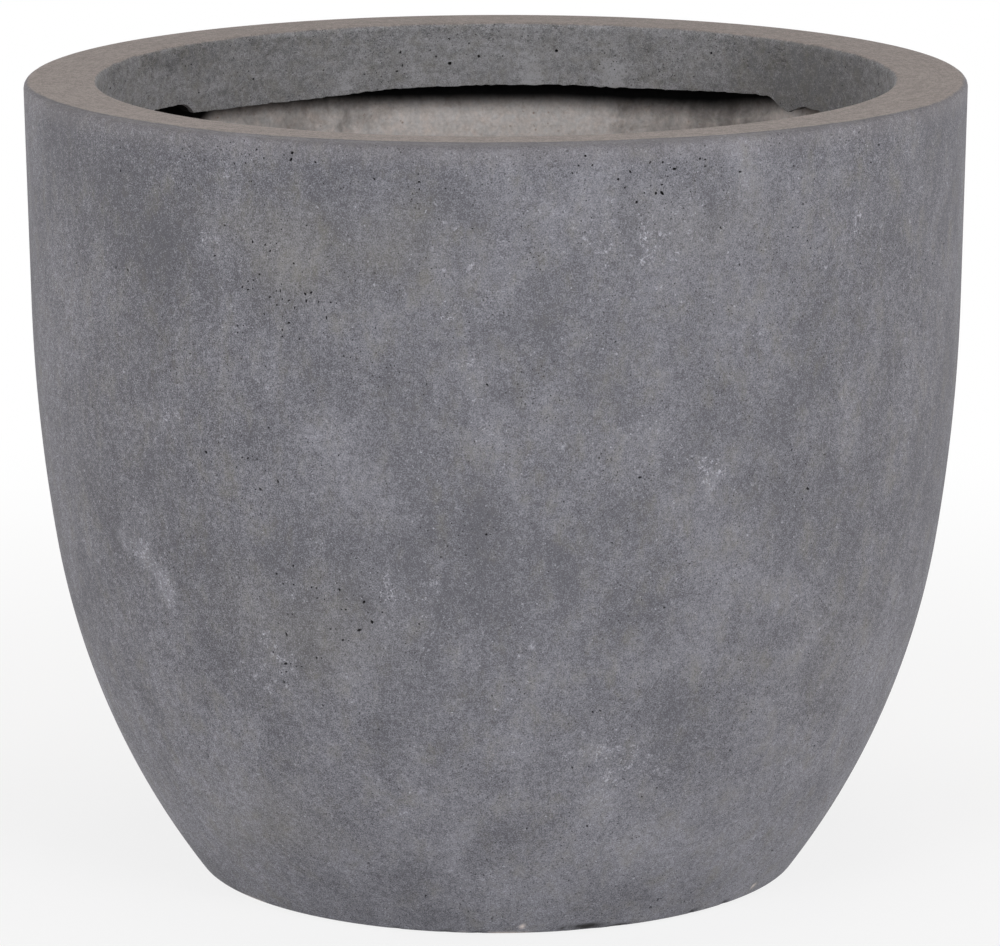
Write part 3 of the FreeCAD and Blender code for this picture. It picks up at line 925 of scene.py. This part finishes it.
def face_coat_finish(look):
    """Pigmented clay: clouded grey with sandy grain, lime bloom, olive stains and pores, rubbed warm on the rim,
    with painted light and shade.
    """
    finish = Finish("pigmented_clay")
    aside, behind, height = (finish.along(axis) for axis in "XYZ")
    out = finish.out()
    tone, bloom, olive, smear_and_shade, pit_dirt_and_shade, worn = (
        finish.attribute(name) for name in ("tone", "bloom", "olive", "smear_and_shade", "pit_dirt_and_shade", "worn"))

    # Grey clouds, sand and olive stains
    wiped = finish.stretched(1, 1, 0.66)
    wide = finish.clouds(0.075, 3, 0.55, 0.6)
    middling = finish.clouds(0.02, 4, 0.67, 0.4, wiped)
    sandy = finish.clouds(0.0028, 3, 0.7)
    grain = finish.clouds(0.00055, 1, 0.6)
    # The coat is paler towards the ground through low: painted light, standing in for the light thrown up from the
    # floor onto the lower wall.
    low = 1 - finish.step(height, 0.01, 0.16)
    turned_away = finish.step(aside * aside, 0.006, 0.04)
    crisp = 1 + 0.25 * low + 0.55 * turned_away + 0.35 * finish.step(-aside, 0.03, 0.12)
    shade = 0.176 + 0.16 * low + 0.12 * tone + 0.28 * wide + 0.29 * middling + crisp * (0.31 * sandy + 0.6 * grain)
    grey = finish.mix(shade, look.coat_dark, look.coat_pale)
    earthy = finish.step(finish.clouds(0.010, 4, 0.68, 0.0, wiped) + 0.2 * wide, -0.1, 0.8) * 0.48
    stained = finish.mix(olive * 0.3 + earthy, grey, look.stain)

    # Lime bloom
    patches = finish.step(finish.clouds(0.032, 3, 0.6, 0.8, wiped) + 0.9 * bloom, 0.15, 0.95)
    flecks = finish.step(finish.clouds(0.0012, 2, 0.75) + 0.2 * middling, 0.26, 0.6)
    sparks = finish.step(finish.clouds(0.0013, 1, 0.5) + 0.15 * patches, 0.42, 0.62)
    thread = finish.clouds(0.0042, 3, 0.65, 0.8)
    veins = 1 - finish.step(abs(thread), 0.015, 0.08)
    broken = finish.step(finish.clouds(0.0045, 2, 0.6) + 0.4 * patches, 0.22, 0.6)
    heavy = finish.step(bloom, 0.4, 1.1)
    lime = patches * (0.65 * flecks + 0.04) + 0.1 * heavy + 0.12 * flecks + 0.42 * sparks + 0.45 * veins * broken
    limed = finish.mix(lime, stained, look.bloom)

    # Slurry and cracks on the drop, with the painted shade and light that some of the smear patches carry
    within = 1 - finish.step(out, MOUTH_RADIUS + 0.8 * MM, MOUTH_RADIUS + 1.8 * MM)
    inside = within * finish.step(height, 0.32, 0.33)
    streaks = finish.clouds(0.009, 4, 0.72, 0.4, finish.stretched(1, 1, 2.4))
    smeared = finish.step(smear_and_shade + 0.35 * streaks, 0.48, 0.62)
    paste = 0.43 + 0.34 * smear_and_shade + 0.28 * smeared + 0.52 * streaks + 0.75 * sandy + 0.9 * grain
    tinge = finish.step(finish.clouds(0.009, 3, 0.65, 0.5), -0.2, 0.6) * 0.4
    pasty = finish.mix(tinge, finish.mix(paste, look.drop_dark, look.drop_dust), look.stain)
    seam = finish.clouds(0.0045, 3, 0.7, 0.6, finish.stretched(1, 1, 3))
    torn = finish.step(2.2 * finish.clouds(0.012, 2, 0.6) + 55 * height, 19.5, 20.6)
    cracks = (1 - finish.step(abs(seam), 0.02, 0.09)) * torn * 0.65
    dulled = finish.mix(inside * 0.9, limed, finish.mix(cracks, pasty, look.pore_dirt_and_shade))

    # Rubbed rim, and bare clay where the edge at the ground is worn
    ring = finish.node("ShaderNodeCombineXYZ", None, {
        0: aside / out * 14, 1: behind / out * 14, 2: out * 800})
    brushed = finish.clouds(1, 2, 0.6, 0.0, ring)
    blotchy = finish.clouds(0.011, 4, 0.7, 0.4)
    edge = MM * (finish.clouds(0.009, 4, 0.7) + 0.3 * sandy)
    flat = finish.step(height + 0.7 * edge, TOP - 1.0 * MM, TOP - 0.2 * MM)
    front = finish.step(-behind - 0.15 * aside, 0.05, 0.19)
    foremost = finish.step(-behind, 0.17, 0.21)
    spread = out + 2 * edge + 8.7 * MM * front + 4 * MM * foremost
    rubbed = flat * (1 - finish.step(spread, RIM_RADIUS - 2.8 * MM, RIM_RADIUS - 0.6 * MM))
    line = finish.step(spread, RIM_RADIUS - 2.2 * MM, RIM_RADIUS - 0.8 * MM)
    lip = flat * line * (1 - finish.step(spread, RIM_RADIUS - 0.4 * MM, RIM_RADIUS + 2.2 * MM))
    # Outside the drop, the top 12 mm is a little paler and warmer.
    topmost = (1 - inside) * finish.step(height, TOP - 12 * MM, TOP - MM)
    dusted = finish.mix(topmost * 0.1, finish.mix(topmost * 0.05, dulled, look.coat_pale), look.rim_dust)
    # The rim's colour is paler towards the front and out at the sides, more on the left, and darker towards the
    # back.
    lean = 3 * aside * aside - 0.33 * aside - 0.475 * behind
    dusty = 0.455 + lean + 1.0 * brushed + 0.75 * blotchy + 1.8 * sandy + 2.0 * grain
    dust = finish.mix(dusty, look.rim_dark, look.rim_dust)
    grubby = lip * (0.22 + 0.4 * finish.step(blotchy, -0.1, 0.4))
    warm = finish.mix(grubby, finish.mix(rubbed * 0.92, dusted, dust), look.coat_dark)
    bared = finish.mix(worn, warm, look.raw)

    # Pores, crowded near the rim and the ground: dark specks of dirt and painted shade, with painted highlights
    # below some
    scatter = finish.step(finish.clouds(0.05, 2, 0.5), -0.15, 0.4)
    small_pores = finish.specks(0.0056, 0.065, 0.1) * scatter * 0.9
    tiny_pores = finish.specks(0.0024, 0.10, 0.18) * finish.step(finish.clouds(0.022, 2), -0.3, 0.3)
    crowded = finish.step(height + 0.012 * wide, 0.327, 0.352) + (1 - finish.step(height, 0.010, 0.026))
    crowd = 0.6 * crowded * finish.step(finish.clouds(0.018, 2), -0.3, 0.3) * (1 - 0.6 * rubbed)
    edge_pores = finish.specks(0.0037, 0.12, 0.2) * crowd
    # Painted highlights: pale crescents just below the crowded pores, where light from above would catch their lower
    # lips.
    pore_highlights = finish.specks(0.0037, 0.12, 0.2, finish.shifted(0, 0, 0.55 * MM)) * crowd
    lit = finish.mix(0.38 * pore_highlights, bared, look.bloom)
    fine_pores = small_pores.larger(tiny_pores) * (1 - 0.4 * rubbed)
    hollow = fine_pores.larger(edge_pores) * 0.9
    colour = finish.mix(hollow.larger(pit_dirt_and_shade), lit, look.pore_dirt_and_shade)

    rise = 0.12 * sandy + 0.06 * grain
    roughness = 0.80 + 0.10 * sandy - 0.06 * rubbed
    return finish.done(colour, roughness, finish.bump(rise, 0.55), 0.35)


def raw_clay_finish(name, look, weave):
    """Raw clay of the back: beige, marked by damp and iron, specked, with the print of the cloth if it is woven, and
    shadow painted high up.
    """
    finish = Finish(name)
    aside, behind, height = (finish.along(axis) for axis in "XYZ")
    damp = finish.clouds(0.035, 4, 0.65, 0.9, finish.stretched(1, 1, 0.45))
    grain = finish.clouds(0.0018, 3, 0.7)
    mottle = finish.clouds(0.009, 4, 0.7, 0.5)
    stained = finish.step(0.8 * damp + 0.6 * mottle + finish.attribute("damp"), 0.0, 1.1) * 0.85
    clay = finish.mix(0.5 + 0.75 * finish.clouds(0.006, 4, 0.75, 0.5), look.raw_cool, look.raw)
    beige = finish.mix(stained, clay, look.raw_stain)
    sandy = finish.mix(0.16 + 0.42 * grain + 0.3 * mottle, beige, look.raw_stain)
    blots = finish.step(finish.clouds(0.0055, 4, 0.7, 0.6) + 0.3 * damp, 0.05, 0.6) * 0.4
    scatter = finish.step(finish.clouds(0.03, 2), -0.1, 0.4)
    crumbs = finish.step(finish.clouds(0.0032, 4, 0.75, 1.2), 0.22, 0.5) * 0.8
    specks = crumbs.larger(finish.specks(0.0042, 0.06, 0.2) * 0.6) * scatter
    specked = finish.mix(specks, finish.mix(blots, sandy, look.rust), look.rust)
    # Painted shadow: high on the inside, in the hollow under the rim, the clay is painted near black for the shade
    # there. The band starts higher at the sides, most on the right, and reaches lower at the far left.
    lifted = 0.007 * finish.step(aside, 0.09, 0.15) + 0.0026 * finish.step(-aside, 0.04, 0.1)
    pocket = 0.009 * finish.step(-aside, 0.135, 0.150)
    shadow_band = finish.step(height + 0.0015 * damp - lifted + pocket, 0.3165, 0.3285)
    colour = finish.mix(shadow_band, specked, look.painted_shadow)
    rise = 0.35 * finish.clouds(0.006, 3, 0.6) + 0.15 * grain - 0.4 * specks
    if weave:
        turn = behind.math("ARCTAN2", behind, aside)
        threads = (turn * 300).sine() + (height * 1500).sine()
        rise = rise + 0.06 * threads * finish.step(finish.clouds(0.05, 2), -0.3, 0.3)
    return finish.done(colour, 0.9 + 0.08 * grain, finish.bump(rise, 0.7), 0.15)


def rubber_finish(look):
    """Black rubber with a dusty bloom and the fine marks of handling."""
    finish = Finish("dusty_rubber")
    dusty = finish.step(finish.clouds(0.006, 4, 0.7), -0.1, 0.7)
    colour = finish.mix(dusty * 0.5, look.rubber, (0.075, 0.072, 0.068))
    rise = 0.03 * finish.clouds(0.0012, 2, 0.6)
    return finish.done(colour, 0.46 + 0.3 * dusty, finish.bump(rise, 0.5), 0.4)


def raw_clay(look):
    """Finish of the bare clay, made when the first piece needs it."""
    return bpy.data.materials.get("bare_fibreclay") or raw_clay_finish("bare_fibreclay", look, False)


def slurried_cloth(look):
    """Finish of the cloth, made when the first piece needs it."""
    return bpy.data.materials.get("cloth_in_slurry") or raw_clay_finish("cloth_in_slurry", look, True)


class PLANTER_OT_face_coat(bpy.types.Operator):
    """Pigmented skin on the wall, the rim and the drop inside the mouth"""

    bl_idname = "planter.face_coat"
    bl_label = "Face Coat"

    def execute(self, context):
        look = context.scene.planter_finish
        chance = random.Random(look.seed)
        section = PotSection(context.scene.planter_sizes)
        skin = turned("grey_skin", *section.face_coat())
        trim_drop(skin)
        chipped(skin, pinholes(skin, pinhole_marks(look, chance), chance))
        painted(skin, "tone", CLOUDS, chance, extra=34)
        painted(skin, "bloom", BLOOM, chance, extra=26)
        painted(skin, "olive", OLIVE, chance, extra=10)
        painted(skin, "smear_and_shade", DROP_SMEARS_AND_SHADE)
        settle(skin, "pot", "face_coat", face_coat_finish(look), "face_coat")
        return {"FINISHED"}


class PLANTER_OT_rim_lining(bpy.types.Operator):
    """Clay and cloth behind the rim and its drop"""

    bl_idname = "planter.rim_lining"
    bl_label = "Rim Lining"

    def execute(self, context):
        look = context.scene.planter_finish
        section = PotSection(context.scene.planter_sizes)
        core = turned("rim_core", *section.rim_core())
        trim_drop(core, 0.3 * MM)
        settle(core, "pot", "raw_clay", raw_clay(look), "rim_body")
        laid, clear = section.rim_lining()
        lining = turned("rim_lining", clear, laid)
        lumps(lining, 14 * MM, 0.8 * MM)
        trim_drop(lining, 0.8 * MM)
        settle(lining, "pot", "slurried_cloth", slurried_cloth(look), "rim_cloth")
        return {"FINISHED"}


class PLANTER_OT_wall_lining(bpy.types.Operator):
    """Cloth on the back of the wall, and the clay behind it"""

    bl_idname = "planter.wall_lining"
    bl_label = "Wall Lining"

    def execute(self, context):
        look = context.scene.planter_finish
        laid, clear = PotSection(context.scene.planter_sizes).wall_lining()
        lining = turned("wall_lining", clear, laid, 384)
        lumps(lining, 30 * MM, 1.4 * MM)
        lapped(lining)
        painted(lining, "damp", DAMP)
        settle(lining, "pot", "slurried_cloth", slurried_cloth(look), "wall_cloth")
        dress(frame["nodes"]["wall_body"], raw_clay(look))
        return {"FINISHED"}


class PLANTER_OT_floor(bpy.types.Operator):
    """Clay floor with its foot ring, the cloth disc on it and the bead in the corner"""

    bl_idname = "planter.floor"
    bl_label = "Floor"

    def execute(self, context):
        look = context.scene.planter_finish
        section = PotSection(context.scene.planter_sizes)
        inside, under = section.floor_slab()
        slab = turned("floor_slab", under, inside, 288)
        settle(slab, "pot", "raw_clay", raw_clay(look), "floor_body")
        laid, clear = section.floor_lining()
        cloth = turned("floor_lining", clear, laid, 256)
        seat = np.flatnonzero(from_axis(places(cloth)) < SEAT_RADIUS)
        cloth.vertex_groups["clear"].remove(seat.tolist())
        lumps(cloth, 22 * MM, 0.7 * MM)
        settle(cloth, "pot", "slurried_cloth", slurried_cloth(look), "floor_cloth")
        bonded, clear = section.corner_bead()
        bead = turned("corner_slurry", clear, bonded, 320)
        fingered(bead)
        settle(bead, "pot", "raw_clay", raw_clay(look), "corner_bead")
        return {"FINISHED"}


class PLANTER_OT_drain_plug(bpy.types.Operator):
    """Rubber plug in the drain hole"""

    bl_idname = "planter.drain_plug"
    bl_label = "Drain Plug"

    def execute(self, context):
        dress(frame["nodes"]["drain_plug"], rubber_finish(context.scene.planter_finish))
        return {"FINISHED"}


class PLANTER_OT_stage(bpy.types.Operator):
    """Pale floor, soft lights, white surround and the camera"""

    bl_idname = "planter.stage"
    bl_label = "Studio"

    def execute(self, context):
        stage = context.scene.planter_stage
        self.floor(stage)
        self.surround(stage)
        for lamp in LAMPS:
            self.lamp(*lamp)
        self.camera(stage)
        context.scene.view_settings.view_transform = "Standard"
        return {"FINISHED"}

    def floor(self, stage):
        """A pale floor that keeps the shadow. It is open under the pot and from below."""
        bpy.ops.object.select_all(action="DESELECT")
        bpy.ops.mesh.primitive_plane_add(size=16, location=(0, 0, -0.3 * MM))
        ground = bpy.context.object
        ground.name = "studio_floor"
        tree = NodeTree(bpy.data.materials.new("studio_floor"))
        tree.nodes.clear()
        lit = tree.node("ShaderNodeBsdfDiffuse", None, {"Color": stage.floor})
        white = tree.node("ShaderNodeEmission", None, {"Strength": 1})
        place = tree.node("ShaderNodeTexCoord", output="Object")
        away = tree.node("ShaderNodeVectorMath", {"operation": "LENGTH"}, {0: place}, "Value")
        share = self.seen(tree) * (0.8 + 0.2 * tree.step(away, 0.25, 1.0))
        shown = tree.node("ShaderNodeMixShader", None, {0: share, 1: lit, 2: white})
        below = tree.node("ShaderNodeNewGeometry", output="Backfacing")
        under_pot = 1 - tree.step(away, 0.1325, 0.1335)
        clear = tree.node("ShaderNodeBsdfTransparent")
        surface = tree.node("ShaderNodeMixShader", None, {0: below.larger(under_pot), 1: shown, 2: clear})
        self.output(tree, "ShaderNodeOutputMaterial", surface)
        ground.data.materials.append(tree.owner)

    def surround(self, stage):
        world = bpy.data.worlds.new("studio")
        bpy.context.scene.world = world
        tree = NodeTree(world)
        tree.nodes.clear()
        soft = tree.node("ShaderNodeBackground", None, {"Color": stage.ambient, "Strength": 1})
        white = tree.node("ShaderNodeBackground", None, {"Color": (1, 1, 1), "Strength": 1})
        surface = tree.node("ShaderNodeMixShader", None, {0: self.seen(tree), 1: soft, 2: white})
        self.output(tree, "ShaderNodeOutputWorld", surface)

    def seen(self, tree):
        """1 for what the camera sees, straight or in a reflection or through glass."""
        rays = sum(tree.node("ShaderNodeLightPath", output=name)
                   for name in ("Is Camera Ray", "Is Glossy Ray", "Is Transmission Ray"))
        return rays.math("MINIMUM", rays, 1)

    def output(self, tree, kind, surface):
        end = tree.nodes.new(kind)
        tree.links.new(surface.socket, end.inputs["Surface"])

    def lamp(self, name, place, size, power, tint):
        aim = (Vector((0, 0, 0.2)) - Vector(place)).to_track_quat("-Z", "Y").to_euler()
        bpy.ops.object.light_add(type="AREA", location=place, rotation=aim)
        lamp = bpy.context.object
        lamp.name = name
        lamp.data.size = size
        lamp.data.energy = power
        lamp.data.color = tint
        lamp.visible_camera = False

    def camera(self, stage):
        bpy.ops.object.camera_add(
            location=(stage.camera_aside, -stage.camera_distance, stage.camera_height),
            rotation=(math.pi / 2 - stage.camera_tilt, 0, 0))
        camera = bpy.context.object
        camera.data.lens = stage.lens
        camera.data.sensor_width = 36
        camera.rotation_euler.rotate_axis("Z", stage.camera_roll)
        bpy.context.scene.camera = camera


class PLANTER_PT_panel(bpy.types.Panel):
    """Steps that dress the planter"""

    bl_label = "Planter"
    bl_idname = "PLANTER_PT_panel"
    bl_space_type = "VIEW_3D"
    bl_region_type = "UI"
    bl_category = "Planter"

    def draw(self, context):
        for step in STEPS:
            self.layout.operator(step.bl_idname)
        for group in GROUPS:
            settings = getattr(context.scene, group)
            box = self.layout.box()
            for name in settings.__annotations__:
                box.prop(settings, name)


STEPS = (PLANTER_OT_face_coat, PLANTER_OT_rim_lining, PLANTER_OT_wall_lining, PLANTER_OT_floor,
         PLANTER_OT_drain_plug, PLANTER_OT_stage)
GROUPS = {"planter_sizes": PlanterSizes, "planter_finish": PlanterFinish, "planter_stage": PlanterStage}


def register():
    for group in GROUPS.values():
        bpy.utils.register_class(group)
    for name, group in GROUPS.items():
        setattr(bpy.types.Scene, name, bpy.props.PointerProperty(type=group))
    for part in (*STEPS, PLANTER_PT_panel):
        bpy.utils.register_class(part)


def unregister():
    for part in (PLANTER_PT_panel, *reversed(STEPS)):
        bpy.utils.unregister_class(part)
    for name, group in GROUPS.items():
        delattr(bpy.types.Scene, name)
        bpy.utils.unregister_class(group)


def main():
    register()
    bpy.ops.planter.face_coat()
    bpy.ops.planter.rim_lining()
    bpy.ops.planter.wall_lining()
    bpy.ops.planter.floor()
    bpy.ops.planter.drain_plug()
    bpy.ops.planter.stage()


if __name__ == "__main__":
    main()
